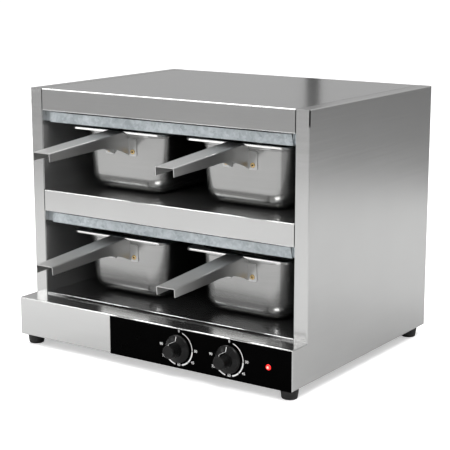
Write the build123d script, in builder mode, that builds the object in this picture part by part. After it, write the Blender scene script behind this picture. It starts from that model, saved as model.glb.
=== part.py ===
from build123d import *
import math
import os

# Two-tier heated holding bin of folded stainless sheet, in millimetres.
# X runs to the right, Y to the back and Z up. The origin is on the table, under the middle of the
# whole object, from the tips of the pan handles to the cable gland on the back.

# Case
post_width = 21.0  # double side wall, seen from the front as a post
toe_depth = 37.0  # how far the base stands forward of the posts
base_height = 58.0
sheet_gauge = 1.0
fold_radius = 1.6  # outer radius of a folded edge
seam_gap = 0.6  # between neighbouring covers
hem_depth = 6.5  # folded-in lower edges of the fascia and of the shelf strip
cover_rear_drop = 14.0
cover_ledge = 10.0  # flange of each inner wall that carries the top cover
corner_slit_width = 1.3  # relief at the top of the fold between a post and its side
corner_slit_length = 17.0
wall_flange = 8.0
ledge_lap = 22.0  # how far the ledge of the base runs in behind the posts
ledge_drop = 12.0
base_return = 32.0  # bottom fold of the base front panel, over the front feet
plate_upstand = 8.0
back_inset = 4.0  # back panel inside the outline of the case

# Tiers
fascia_height = 33.0
strip_height = 32.5  # front strip of the upper shelf
floor_step = 3.0  # lower floor above the ledge of the base
shelf_upstand = 12.0  # rear edge of each shelf, turned up
shelf_rear_gap = 0.5
rail_width = 34.0  # rails that carry the lower shelf
rail_drop = 18.0
angle_leg = 14.0  # angles that carry the upper shelf
angle_end_gap = 10.0

# Heater channels
channel_setback = 8.0  # behind the front faces of the posts
channel_show = 17.8  # how far a channel hangs below the sheet in front of it
channel_height = 34.0
channel_end_gap = 9.0  # between a channel's end wall and the inner wall of the case
channel_rear_gap = 30.0
channel_notch = 6.0  # slanted relief cut at each end of the front wall
channel_ear_setback = 2.5
hanger_drop = 12.0
element_diameter = 7.0
element_margin = 30.0  # from the channel's walls to the outer runs of the tube
element_runs = 4
element_pin_diameter = 3.0
element_pin_length = 9.0
clip_width = 12.0
clip_gauge = 0.8
clip_foot = 8.0

# Food pans, one third of the standard catering size
pan_width = 176.0
pan_length = 325.0
pan_height = 95.0
pan_gauge = 0.8
pan_gap = 34.0  # between the rims of neighbours
pan_side_gap = 28.0  # between a rim and the side wall
pan_setback = 29.0  # front of the rim behind the front faces of the posts
pan_rear_gap = 2.0  # rim in front of the back edges of the side panels
upper_tier_gap = 6.6  # between the rims and the heater channel above
lower_tier_gap = 13.1
pan_slide_gap = 0.1  # under the pans, so that they slide free
rim_overhang = 12.5
rim_bead = 3.2
rim_corner = 13.0
pan_step = 1.6  # shallow stacking step under the rim
pan_step_height = 9.0
pan_corner = 32.0
pan_bottom_radius = 26.0
pan_draft = 3.0  # degrees

# Pan handles
handle_width = 30.0
handle_gauge = 1.2
handle_fold = 2.2
handle_reach = 131.4  # tips in front of the posts
handle_slope = 4.28  # degrees, down towards the tip
handle_tip_height = 12.0
handle_mid_height = 15.6
handle_mid_reach = 44.0  # in front of the posts, where the flanges start to arch
handle_arch = 7.0  # rise of the arch over its chord
handle_rim_gap = 0.3
foot_drop = 37.5  # lower end of a handle below the rim
ear_width = 14.0
ear_top_drop = 11.5
ear_corner = 3.0
rivet_offset = 22.0
rivet_drop = 31.0
rivet_diameter = 4.0
rivet_head = 7.5
rivet_head_height = 1.9
rivet_tail = 6.0
rivet_tail_height = 0.9

# Controls
overlay_width = 307.0
overlay_gauge = 1.5
overlay_border = 1.2  # bare steel above the overlay
lamp_inset = 36.7  # from the right side of the case
dial_inset = 101.0  # right dial, from the right side of the case
dial_pitch = 84.8
control_height = 29.0  # centres of the dials and the lamp above the bottom of the case
knob_diameter = 40.0
knob_rim = 2.4
knob_bevel = 1.6
knob_shoulder = 6.4  # depth of the skirt where it meets the grip
knob_grip_diameter = 22.0
knob_tip_diameter = 19.0
knob_tip_radius = 1.2
knob_reach = 24.0
knob_gap = 0.8
knob_wall = 2.4
knob_recess = 3.4
knob_rib_width = 1.6
knob_rib_height = 0.9
shaft_diameter = 6.0
shaft_flat = 1.4  # depth of the flat that drives the knob
shaft_clearance = 0.05
shaft_in_knob = 14.0
shaft_in_body = 16.0
shaft_end_gap = 1.0
bushing_diameter = 10.0
bushing_length = 6.0
bushing_nut_width = 14.0
bushing_nut_height = 2.5
thermostat_width = 42.0
thermostat_height = 36.0
thermostat_depth = 27.0
thermostat_corner = 4.0
tag_count = 3
tag_pitch = 12.0
tag_width = 6.3
tag_length = 8.0
tag_gauge = 0.8
lamp_diameter = 8.0
lamp_dome = 2.0
lamp_nose_diameter = 6.0
lamp_body_diameter = 10.0
lamp_body_length = 24.0

# Supply entry
gland_inset = 52.0  # from the right side of the case
gland_height = 29.0
gland_thread = 16.0
gland_bore = 8.5
gland_hex = 22.0
gland_collar = 5.0
gland_cap_diameter = 19.0
gland_cap_length = 10.0
gland_cap_bevel = 2.5
gland_inner_length = 9.0
gland_nut_height = 4.0
block_width = 52.0
block_depth = 24.0
block_height = 20.0
block_step = 7.0
block_poles = 3
block_screw = 6.0
block_gap = 60.0  # centre of the terminal block in front of the back edge

# Feet and screws
foot_diameter = 26.0
foot_tip_diameter = 22.0
foot_height = 15.0
foot_edge = 1.5
foot_inset = 15.0  # centre of a foot from the side of the case
foot_front_inset = 18.0
foot_rear_inset = 25.0
foot_screw = 5.0
foot_screw_depth = 9.0
foot_screw_head = 9.5
foot_screw_head_height = 3.0
screw_diameter = 4.0
screw_head = 7.5
screw_head_height = 2.2
screw_length = 8.0
screw_rows = 4
screw_end_gap = 24.0
vent_count = 9
vent_length = 26.0
vent_width = 4.0
vent_pitch = 12.0
fit_gap = 0.1  # around screws, rivets and bushings in their holes

# Places that follow from the dimensions above: the case is built round the pans
pan_pitch = pan_width + pan_gap
wall_x = pan_pitch / 2 + pan_width / 2 + pan_side_gap
half_width = wall_x + post_width
case_width = 2 * half_width
case_depth = pan_setback + pan_length + pan_rear_gap  # posts' front faces to the side panels' back edges
pan_top = pan_slide_gap + pan_height
lower_tier = floor_step + pan_top + lower_tier_gap + channel_show
upper_tier = pan_top + upper_tier_gap + channel_show
upper_floor_height = base_height + lower_tier + strip_height  # above the bottom of the case
case_height = upper_floor_height + upper_tier + fascia_height  # side panels, without the feet
back_reach = sheet_gauge + gland_collar + gland_cap_length
front_y = (handle_reach - case_depth - back_reach) / 2
back_y = front_y + case_depth
toe_y = front_y - toe_depth
tip_y = front_y - handle_reach
bottom_z = foot_height
top_z = bottom_z + case_height
base_z = bottom_z + base_height
lower_floor_z = base_z + floor_step
rail_z = lower_floor_z - sheet_gauge
upper_floor_z = bottom_z + upper_floor_height
strip_z = upper_floor_z - strip_height
fascia_z = top_z - fascia_height
skin_x = half_width - sheet_gauge
cover_half = wall_x - seam_gap
control_z = bottom_z + control_height
lamp_x = half_width - lamp_inset
dial_right_x = half_width - dial_inset
dial_left_x = dial_right_x - dial_pitch
gland_x = half_width - gland_inset
gland_z = bottom_z + gland_height
channel_half = wall_x - channel_end_gap
channel_front = front_y + channel_setback
channel_back = back_y - channel_rear_gap
shelf_back = back_y - shelf_rear_gap - sheet_gauge
rim_y = front_y + pan_setback
overlay_y = toe_y - overlay_gauge
knob_back = overlay_y - knob_gap
knob_front = overlay_y - knob_reach
shaft_back = toe_y + sheet_gauge + shaft_in_body - shaft_end_gap
shaft_front = knob_back - knob_recess - shaft_in_knob
screw_x = half_width - post_width / 2
screw_span = top_z - bottom_z - 2 * screw_end_gap
screw_pitch = screw_span / (screw_rows - 1)
screw_levels = [bottom_z + screw_end_gap + i * screw_pitch for i in range(screw_rows)]
foot_x = half_width - foot_inset
foot_rows = (toe_y + foot_front_inset, back_y - foot_rear_inset)
foot_spots = [(s * foot_x, y) for s in (-1, 1) for y in foot_rows]
sides = ((-1, "left"), (1, "right"))
channels = (("upper", fascia_z - channel_show), ("lower", strip_z - channel_show))
dials = (("left", dial_left_x), ("right", dial_right_x))
standing = (Align.CENTER, Align.CENTER, Align.MIN)
hanging = (Align.CENTER, Align.CENTER, Align.MAX)
above = (Align.CENTER, Align.MIN)
below = (Align.CENTER, Align.MAX)

os.makedirs("parts", exist_ok=True)


def save(built, label):
    built.part.label = label
    export_step(built.part, f"parts/{label}.step")


def folded(points, side=Side.RIGHT, gauge=sheet_gauge, radius=fold_radius):
    """Section of a folded sheet, inside the line of its outer face."""
    with BuildSketch() as section:
        with BuildLine():
            FilletPolyline(*points, radius=radius)
            offset(amount=gauge, side=side)
        make_face()
    return section.sketch


def front_plane(y):
    """Plane that faces the viewer at a depth, with X to the right and Z up."""
    return Plane.XZ.offset(-y)


# Side panels: L-shaped outer skins, whose return flanges make the posts and the edge strips of the top
for side, name in sides:
    outermost = -1 if side > 0 else 0
    innermost = -1 - outermost
    with BuildPart() as side_panel:
        with BuildSketch(Plane.YZ.offset(side * half_width)):
            with BuildLine():
                Polyline(
                    (toe_y, bottom_z),
                    (toe_y, base_z),
                    (front_y, base_z),
                    (front_y, top_z),
                    (back_y, top_z),
                    (back_y, bottom_z),
                    close=True,
                )
            make_face()
        extrude(amount=-side * post_width)
        fillet(side_panel.faces().sort_by(Axis.X)[outermost].edges(), fold_radius)
        offset(amount=-sheet_gauge, openings=side_panel.faces().sort_by(Axis.X)[innermost])
        # The end of the base is a plain sheet, because the base front panel brings its own folds
        with Locations((side * (wall_x + skin_x) / 2, front_y + sheet_gauge, base_z)):
            Box(
                skin_x - wall_x,
                toe_depth + sheet_gauge,
                base_height,
                align=(Align.CENTER, Align.MAX, Align.MAX),
                mode=Mode.SUBTRACT,
            )
        with Locations((side * half_width, front_y, top_z - fold_radius)):
            Box(
                2 * corner_slit_width,
                2 * corner_slit_width,
                corner_slit_length,
                align=(Align.CENTER, Align.CENTER, Align.MAX),
                mode=Mode.SUBTRACT,
            )
        with Locations((side * foot_x, foot_rows[1], bottom_z)):
            Cylinder(foot_screw / 2 + fit_gap, 4 * sheet_gauge, mode=Mode.SUBTRACT)
        with Locations(*[(side * screw_x, back_y, z) for z in screw_levels]):
            Cylinder(
                screw_diameter / 2 + fit_gap, 4 * sheet_gauge, rotation=(90, 0, 0), mode=Mode.SUBTRACT
            )
    save(side_panel, f"{name}_side_panel")

# Inner walls: flanged behind the posts and at the back, with a ledge for the top cover
for side, name in sides:
    with BuildPart() as inner_wall:
        with BuildSketch(Plane.XY.offset(rail_z)):
            add(
                folded(
                    [
                        (side * (wall_x + wall_flange), front_y + sheet_gauge),
                        (side * wall_x, front_y + sheet_gauge),
                        (side * wall_x, back_y - sheet_gauge),
                        (side * (wall_x + wall_flange), back_y - sheet_gauge),
                    ],
                    side=Side.RIGHT if side > 0 else Side.LEFT,
                )
            )
        extrude(amount=top_z - sheet_gauge - rail_z)
        ledge_length = case_depth - 2 * hem_depth - 2 * sheet_gauge
        ledge_x = side * (wall_x + (sheet_gauge - cover_ledge) / 2)
        with Locations((ledge_x, front_y + case_depth / 2, top_z - 1.5 * sheet_gauge)):
            Box(cover_ledge + sheet_gauge, ledge_length, sheet_gauge)
    save(inner_wall, f"{name}_inner_wall")

# Top cover, folded down in front as the fascia
with BuildPart() as top_cover:
    with BuildSketch(Plane.YZ.offset(-cover_half)):
        add(
            folded(
                [
                    (back_y, top_z - cover_rear_drop),
                    (back_y, top_z),
                    (front_y, top_z),
                    (front_y, fascia_z),
                    (front_y + hem_depth, fascia_z),
                ],
                side=Side.LEFT,
            )
        )
    extrude(amount=2 * cover_half)
save(top_cover, "top_cover")

# Back panel, screwed to the rear flanges of the side panels
with BuildPart() as back_panel:
    with BuildSketch(front_plane(back_y)):
        with Locations((0, (bottom_z + top_z) / 2)):
            Rectangle(case_width - 2 * back_inset, case_height - 2 * back_inset)
        with Locations(*[(s * screw_x, z) for s in (-1, 1) for z in screw_levels]):
            Circle(screw_diameter / 2 + fit_gap, mode=Mode.SUBTRACT)
        with Locations((gland_x, gland_z)):
            Circle(gland_thread / 2 + fit_gap, mode=Mode.SUBTRACT)
        with Locations((0, gland_z)), GridLocations(vent_pitch, 0, vent_count, 1):
            SlotOverall(vent_length, vent_width, rotation=90, mode=Mode.SUBTRACT)
    extrude(amount=-sheet_gauge)
save(back_panel, "back_panel")

# Base plate, lying on the bottom folds of the side panels and of the base front panel
with BuildPart() as base_plate:
    plate_half = skin_x - seam_gap
    plate_z = bottom_z + sheet_gauge
    with BuildSketch(Plane.YZ.offset(-plate_half)):
        add(
            folded(
                [
                    (back_y - sheet_gauge, plate_z + plate_upstand),
                    (back_y - sheet_gauge, plate_z),
                    (toe_y + sheet_gauge, plate_z),
                    (toe_y + sheet_gauge, plate_z + plate_upstand),
                ]
            )
        )
    extrude(amount=2 * plate_half)
    with Locations(*[(x, y, plate_z) for x, y in foot_spots]):
        Cylinder(foot_screw / 2 + fit_gap, 4 * sheet_gauge, mode=Mode.SUBTRACT)
save(base_plate, "base_plate")

# Base front panel: bottom fold, front face and the ledge in front of the lower tier
with BuildPart() as base_front:
    base_front_half = skin_x - fit_gap
    with BuildSketch(Plane.YZ.offset(-base_front_half)):
        add(
            folded(
                [
                    (toe_y + base_return, bottom_z),
                    (toe_y, bottom_z),
                    (toe_y, base_z),
                    (front_y + ledge_lap, base_z),
                    (front_y + ledge_lap, base_z - ledge_drop),
                ]
            )
        )
    extrude(amount=2 * base_front_half)
    with Locations(*[(s * foot_x, foot_rows[0], bottom_z) for s in (-1, 1)]):
        Cylinder(foot_screw / 2 + fit_gap, 4 * sheet_gauge, mode=Mode.SUBTRACT)
    with BuildSketch(front_plane(toe_y)):
        with Locations(*[(x, control_z) for _, x in dials]):
            Circle(bushing_diameter / 2 + fit_gap)
        with Locations((lamp_x, control_z)):
            Circle(lamp_nose_diameter / 2 + fit_gap)
    extrude(amount=-sheet_gauge, mode=Mode.SUBTRACT)
save(base_front, "base_front_panel")

# Control overlay, a gloss black plate on the base front
with BuildPart() as overlay:
    overlay_height = base_height - overlay_border - fit_gap
    with BuildSketch(front_plane(toe_y)):
        with Locations((skin_x, bottom_z + fit_gap)):
            Rectangle(overlay_width, overlay_height, align=(Align.MAX, Align.MIN))
        with Locations(*[(x, control_z) for _, x in dials]):
            Circle(bushing_diameter / 2 + fit_gap, mode=Mode.SUBTRACT)
        with Locations((lamp_x, control_z)):
            Circle(lamp_diameter / 2 + fit_gap, mode=Mode.SUBTRACT)
    extrude(amount=overlay_gauge)
save(overlay, "control_overlay")

# Rails under the lower shelf and the inner walls
for side, name in sides:
    with BuildPart() as rail:
        rail_gauge = rail_z - base_z
        leg_y = front_y + ledge_lap + seam_gap
        rail_start = front_y + 2 * fold_radius
        rail_end = back_y - sheet_gauge - seam_gap
        with BuildSketch(front_plane(rail_start)):
            with Locations((side * skin_x, rail_z)):
                Rectangle(rail_width, rail_gauge, align=(Align.MAX if side > 0 else Align.MIN, Align.MAX))
        extrude(amount=rail_start - rail_end)
        with BuildSketch(front_plane(leg_y)):
            with Locations((side * skin_x, rail_z)):
                Rectangle(rail_gauge, rail_drop, align=(Align.MAX if side > 0 else Align.MIN, Align.MAX))
        extrude(amount=leg_y - rail_end)
    save(rail, f"{name}_base_rail")

# Lower shelf, with a low front lip that stands on the ledge
with BuildPart() as lower_shelf:
    with BuildSketch(Plane.YZ.offset(-cover_half)):
        add(
            folded(
                [
                    (front_y + seam_gap, base_z),
                    (front_y + seam_gap, lower_floor_z),
                    (shelf_back, lower_floor_z),
                    (shelf_back, lower_floor_z + shelf_upstand),
                ]
            )
        )
    extrude(amount=2 * cover_half)
save(lower_shelf, "lower_shelf")

# Upper shelf, folded down in front as the strip between the tiers
with BuildPart() as upper_shelf:
    with BuildSketch(Plane.YZ.offset(-cover_half)):
        add(
            folded(
                [
                    (front_y + hem_depth, strip_z),
                    (front_y, strip_z),
                    (front_y, upper_floor_z),
                    (shelf_back, upper_floor_z),
                    (shelf_back, upper_floor_z + shelf_upstand),
                ]
            )
        )
    extrude(amount=2 * cover_half)
save(upper_shelf, "upper_shelf")

# Angles on the inner walls that carry the upper shelf
for side, name in sides:
    with BuildPart() as shelf_angle:
        angle_z = upper_floor_z - sheet_gauge
        angle_length = case_depth - 2 * angle_end_gap
        with BuildSketch(front_plane(front_y + angle_end_gap)):
            add(
                folded(
                    [
                        (side * wall_x, angle_z - angle_leg),
                        (side * wall_x, angle_z),
                        (side * (wall_x - angle_leg), angle_z),
                    ],
                    side=Side.LEFT if side > 0 else Side.RIGHT,
                )
            )
        extrude(amount=-angle_length)
    save(shelf_angle, f"{name}_shelf_angle")

# Heater channels: galvanised trays over the pans, hung between the inner walls
for tier, channel_z in channels:
    channel_top = channel_z + channel_height
    channel_depth = channel_back - channel_front
    channel_mid = (channel_front + channel_back) / 2
    with BuildPart() as channel:
        with Locations((0, channel_mid, channel_z)):
            Box(2 * channel_half, channel_depth, channel_height, align=standing)
        fillet(channel.faces().sort_by(Axis.Z)[0].edges(), fold_radius)
        offset(amount=-sheet_gauge, openings=channel.faces().sort_by(Axis.Z)[-1])
        # Slanted relief at each end of the front wall
        with BuildSketch(front_plane(channel_front)):
            for side in (-1, 1):
                with BuildLine():
                    Polyline(
                        (side * channel_half, channel_z + fold_radius),
                        (side * channel_half, channel_top),
                        (side * (channel_half - channel_notch), channel_top),
                        close=True,
                    )
                make_face()
        extrude(amount=-sheet_gauge, mode=Mode.SUBTRACT)
        # Ears that close the gap beside the front wall, and hangers against the inner walls
        for side in (-1, 1):
            ear_x = side * (channel_half + wall_x) / 2
            ear_reach = wall_x - channel_half
            with Locations((ear_x, channel_front + channel_ear_setback, channel_z + fold_radius)):
                Box(
                    ear_reach,
                    sheet_gauge,
                    channel_height - fold_radius,
                    align=(Align.CENTER, Align.MIN, Align.MIN),
                )
            with Locations((ear_x, channel_mid, channel_top)):
                Box(ear_reach, channel_depth / 2, sheet_gauge, align=hanging)
            with Locations((side * (wall_x - sheet_gauge / 2), channel_mid, channel_top)):
                Box(sheet_gauge, channel_depth / 2, hanger_drop, align=hanging)
    save(channel, f"{tier}_heater_channel")

    # Tubular element: parallel runs joined by half turns, lying on the floor of the channel
    run_x = channel_half - element_margin
    first_run = channel_front + element_margin
    run_pitch = (channel_depth - 2 * element_margin) / (element_runs - 1)
    tube_z = channel_z + sheet_gauge + element_diameter / 2
    turns = []
    for run in range(element_runs):
        ends = [(-run_x, first_run + run * run_pitch), (run_x, first_run + run * run_pitch)]
        turns += ends if run % 2 == 0 else ends[::-1]
    with BuildPart() as element:
        with BuildLine(Plane.XY.offset(tube_z)) as route:
            FilletPolyline(*turns, radius=0.47 * run_pitch)
        with BuildSketch(Plane(origin=route.line @ 0, z_dir=route.line % 0)):
            Circle(element_diameter / 2)
        sweep()
        with Locations(*[(-run_x, y, tube_z) for y in (turns[0][1], turns[-1][1])]):
            Cylinder(
                element_pin_diameter / 2,
                element_pin_length,
                rotation=(0, -90, 0),
                align=standing,
            )
    save(element, f"{tier}_heating_element")

    # Saddle clips over the runs of the element
    with BuildPart() as clips:
        inner_radius = element_diameter / 2
        outer_radius = inner_radius + clip_gauge
        for run in range(element_runs):
            run_y = first_run + run * run_pitch
            with BuildSketch(Plane.YZ.offset(-clip_width / 2)):
                with Locations((run_y, tube_z)):
                    Circle(outer_radius)
                with Locations((run_y, tube_z - inner_radius)):
                    Rectangle(2 * outer_radius, inner_radius, align=above)
                    Rectangle(2 * (outer_radius + clip_foot), clip_gauge, align=above)
                    Rectangle(2 * inner_radius, inner_radius, align=above, mode=Mode.SUBTRACT)
                    Rectangle(4 * outer_radius, outer_radius, align=below, mode=Mode.SUBTRACT)
                with Locations((run_y, tube_z)):
                    Circle(inner_radius, mode=Mode.SUBTRACT)
            extrude(amount=clip_width)
    save(clips, f"{tier}_element_clips")

# Insulation blanket between the upper channel and the top cover
with BuildPart() as blanket:
    blanket_z = channels[0][1] + channel_height
    blanket_height = top_z - 2 * sheet_gauge - seam_gap - blanket_z
    with Locations((0, (channel_front + channel_back) / 2, blanket_z)):
        Box(2 * channel_half, channel_back - channel_front, blanket_height, align=standing)
    fillet(blanket.edges().filter_by(Axis.Z), fold_radius)
save(blanket, "insulation_blanket")

# Thermostats behind the base front, with the bushings through the panel
for name, dial_x in dials:
    with BuildPart() as thermostat:
        with BuildSketch(front_plane(toe_y + sheet_gauge)):
            with Locations((dial_x, control_z)):
                RectangleRounded(thermostat_width, thermostat_height, thermostat_corner)
        extrude(amount=-thermostat_depth)
        with BuildSketch(front_plane(toe_y + sheet_gauge)):
            with Locations((dial_x, control_z)):
                Circle(bushing_diameter / 2)
        extrude(amount=bushing_length)
        with BuildSketch(front_plane(toe_y + sheet_gauge + shaft_in_body)):
            with Locations((dial_x, control_z)):
                Circle(shaft_diameter / 2 + shaft_clearance)
        extrude(amount=shaft_in_body + bushing_length, mode=Mode.SUBTRACT)
        with BuildSketch(front_plane(toe_y + sheet_gauge + thermostat_depth)):
            with Locations((dial_x, control_z)), GridLocations(tag_pitch, 0, tag_count, 1):
                Rectangle(tag_gauge, tag_width)
        extrude(amount=-tag_length)
    save(thermostat, f"{name}_thermostat")

# Nuts on the bushings, hidden in the hollow backs of the knobs
with BuildPart() as bushing_nuts:
    with BuildSketch(front_plane(overlay_y)):
        with Locations(*[(x, control_z) for _, x in dials]):
            RegularPolygon(bushing_nut_width / 2, 6, major_radius=False)
            Circle(bushing_diameter / 2, mode=Mode.SUBTRACT)
    extrude(amount=bushing_nut_height)
save(bushing_nuts, "bushing_nuts")

# Knobs and their shafts
for name, dial_x in dials:
    dial_axis = Axis((dial_x, 0, control_z), (0, 1, 0))
    with BuildPart() as shaft:
        with BuildSketch(front_plane(shaft_back)):
            with Locations((dial_x, control_z)):
                Circle(shaft_diameter / 2)
        extrude(amount=shaft_back - shaft_front)
        with BuildSketch(front_plane(knob_back - knob_recess)):
            with Locations((dial_x, control_z - shaft_diameter / 2)):
                Rectangle(shaft_diameter, shaft_flat, align=above)
        extrude(amount=shaft_in_knob, mode=Mode.SUBTRACT)
    save(shaft, f"{name}_shaft")

    with BuildPart() as knob:
        with BuildSketch(Plane.XY.offset(control_z)) as section:
            with BuildLine():
                Polyline(
                    (dial_x, knob_back),
                    (dial_x + knob_diameter / 2, knob_back),
                    (dial_x + knob_diameter / 2, knob_back - knob_rim),
                    (dial_x + knob_diameter / 2 - knob_bevel, knob_back - knob_rim - knob_bevel),
                    (dial_x + knob_grip_diameter / 2, knob_back - knob_shoulder),
                    (dial_x + knob_tip_diameter / 2, knob_front),
                    (dial_x, knob_front),
                    close=True,
                )
            make_face()
            tip = section.vertices().filter_by_position(Axis.Y, knob_front - 1, knob_front + 1)
            fillet(tip.sort_by(Axis.X)[-1], knob_tip_radius)
        revolve(axis=dial_axis)
        # Rib on the grip, in line with the pointer
        with BuildSketch(front_plane(knob_back - knob_shoulder)):
            with Locations((dial_x, control_z)):
                Rectangle(knob_rib_width, knob_grip_diameter / 2 + knob_rib_height, align=above)
        extrude(amount=knob_reach - knob_gap - knob_shoulder - knob_tip_radius)
        # Hollow back around the bushing nut, and the bore with its flat
        with BuildSketch(front_plane(knob_back)):
            with Locations((dial_x, control_z)):
                Circle(knob_diameter / 2 - knob_wall)
        extrude(amount=knob_recess, mode=Mode.SUBTRACT)
        with BuildSketch(front_plane(knob_back - knob_recess)):
            with Locations((dial_x, control_z)):
                Circle(shaft_diameter / 2)
            with Locations((dial_x, control_z - shaft_diameter / 2)):
                Rectangle(shaft_diameter, shaft_flat, align=above, mode=Mode.SUBTRACT)
        extrude(amount=shaft_in_knob, mode=Mode.SUBTRACT)
    save(knob, f"{name}_knob")

# Pilot lamp: lens in the overlay, body behind the panel
with BuildPart() as lamp_lens:
    lamp_radius = lamp_diameter / 2
    dome_radius = (lamp_radius**2 + lamp_dome**2) / (2 * lamp_dome)
    with BuildSketch(Plane.XY.offset(control_z)):
        with BuildLine():
            Polyline(
                (lamp_x, overlay_y - lamp_dome),
                (lamp_x, toe_y),
                (lamp_x + lamp_radius, toe_y),
                (lamp_x + lamp_radius, overlay_y),
            )
            RadiusArc((lamp_x + lamp_radius, overlay_y), (lamp_x, overlay_y - lamp_dome), dome_radius)
        make_face()
    revolve(axis=Axis((lamp_x, 0, control_z), (0, 1, 0)))
save(lamp_lens, "pilot_lamp_lens")

with BuildPart() as lamp_body:
    with BuildSketch(front_plane(toe_y + sheet_gauge)):
        with Locations((lamp_x, control_z)):
            Circle(lamp_body_diameter / 2)
    extrude(amount=-lamp_body_length)
    with BuildSketch(front_plane(toe_y)):
        with Locations((lamp_x, control_z)):
            Circle(lamp_nose_diameter / 2)
    extrude(amount=-sheet_gauge)
save(lamp_body, "pilot_lamp_body")

# Terminal block on the base plate
with BuildPart() as terminal_block:
    block_z = bottom_z + 2 * sheet_gauge
    block_x = gland_x - block_width
    block_y = back_y - block_gap
    with Locations((block_x, block_y, block_z)):
        Box(block_width, block_depth, block_height, align=standing)
    with Locations(*[(block_x, block_y + s * block_depth / 2, block_z + block_height) for s in (-1, 1)]):
        Box(block_width, block_step * 2, block_step * 2, mode=Mode.SUBTRACT)
    with Locations((block_x, block_y, block_z + block_height)):
        with GridLocations(block_width / block_poles, 0, block_poles, 1):
            Hole(block_screw / 2, block_step)
save(terminal_block, "terminal_block")

# Cable gland through the back panel, and its nut inside
with BuildPart() as gland:
    with BuildSketch(front_plane(back_y + sheet_gauge)):
        with Locations((gland_x, gland_z)):
            RegularPolygon(gland_hex / 2, 6, major_radius=False)
    extrude(amount=-gland_collar)
    with BuildSketch(front_plane(back_y + sheet_gauge + gland_collar)):
        with Locations((gland_x, gland_z)):
            Circle(gland_cap_diameter / 2)
    extrude(amount=-gland_cap_length)
    chamfer(gland.faces().sort_by(Axis.Y)[-1].edges(), gland_cap_bevel)
    with BuildSketch(front_plane(back_y + sheet_gauge)):
        with Locations((gland_x, gland_z)):
            Circle(gland_thread / 2)
    extrude(amount=sheet_gauge + gland_inner_length)
    with BuildSketch(front_plane(back_y + back_reach)):
        with Locations((gland_x, gland_z)):
            Circle(gland_bore / 2)
    extrude(amount=back_reach + gland_inner_length, mode=Mode.SUBTRACT)
save(gland, "cable_gland")

with BuildPart() as gland_nut:
    with BuildSketch(front_plane(back_y)):
        with Locations((gland_x, gland_z)):
            RegularPolygon(gland_hex / 2, 6, major_radius=False)
            Circle(gland_thread / 2, mode=Mode.SUBTRACT)
    extrude(amount=gland_nut_height)
save(gland_nut, "gland_nut")

# Rubber feet
foot_names = ("front_left", "rear_left", "front_right", "rear_right")
for spot, name in zip(foot_spots, foot_names):
    with BuildPart() as foot:
        with BuildSketch():
            with Locations(spot):
                Circle(foot_tip_diameter / 2)
        with BuildSketch(Plane.XY.offset(foot_height)):
            with Locations(spot):
                Circle(foot_diameter / 2)
        loft()
        chamfer(foot.faces().sort_by(Axis.Z)[0].edges(), foot_edge)
        with BuildSketch(Plane.XY.offset(foot_height)):
            with Locations(spot):
                Circle(foot_screw / 2)
        extrude(amount=-foot_screw_depth, mode=Mode.SUBTRACT)
    save(foot, f"foot_{name}")

with BuildPart() as foot_screws:
    head_z = bottom_z + 2 * sheet_gauge
    with BuildSketch(Plane.XY.offset(head_z)):
        with Locations(*foot_spots):
            Circle(foot_screw_head / 2)
    extrude(amount=foot_screw_head_height)
    with BuildSketch(Plane.XY.offset(head_z)):
        with Locations(*foot_spots):
            Circle(foot_screw / 2)
    extrude(amount=bottom_z - foot_screw_depth - head_z)
save(foot_screws, "foot_screws")

# Screws of the back panel
with BuildPart() as back_screws:
    with BuildSketch(front_plane(back_y + sheet_gauge)):
        with Locations(*[(s * screw_x, z) for s in (-1, 1) for z in screw_levels]):
            Circle(screw_head / 2)
    extrude(amount=-screw_head_height)
    chamfer(back_screws.faces().group_by(Axis.Y)[-1].edges(), screw_head_height / 2)
    with BuildSketch(front_plane(back_y + sheet_gauge)):
        with Locations(*[(s * screw_x, z) for s in (-1, 1) for z in screw_levels]):
            Circle(screw_diameter / 2)
    extrude(amount=screw_length)
save(back_screws, "back_panel_screws")


def pan_form(x, rim_z, inset):
    """Drawn form of a pan, with its draft, round bottom edge and stacking step."""
    width = pan_width - 2 * rim_overhang - 2 * inset
    length = pan_length - 2 * rim_overhang - 2 * inset
    middle = (x, rim_y + pan_length / 2)
    step_plane = Plane.XY.offset(rim_z - pan_step_height + inset)
    with BuildPart() as form:
        with BuildSketch(step_plane):
            with Locations(middle):
                RectangleRounded(width, length, pan_corner - inset)
        extrude(amount=pan_step_height - pan_height, taper=pan_draft)
        fillet(form.faces().sort_by(Axis.Z)[0].edges(), pan_bottom_radius - inset)
        with BuildSketch(step_plane):
            with Locations(middle):
                step_corner = pan_corner + pan_step - inset
                RectangleRounded(width + 2 * pan_step, length + 2 * pan_step, step_corner)
        extrude(amount=pan_step_height)
    return form.part


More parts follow.
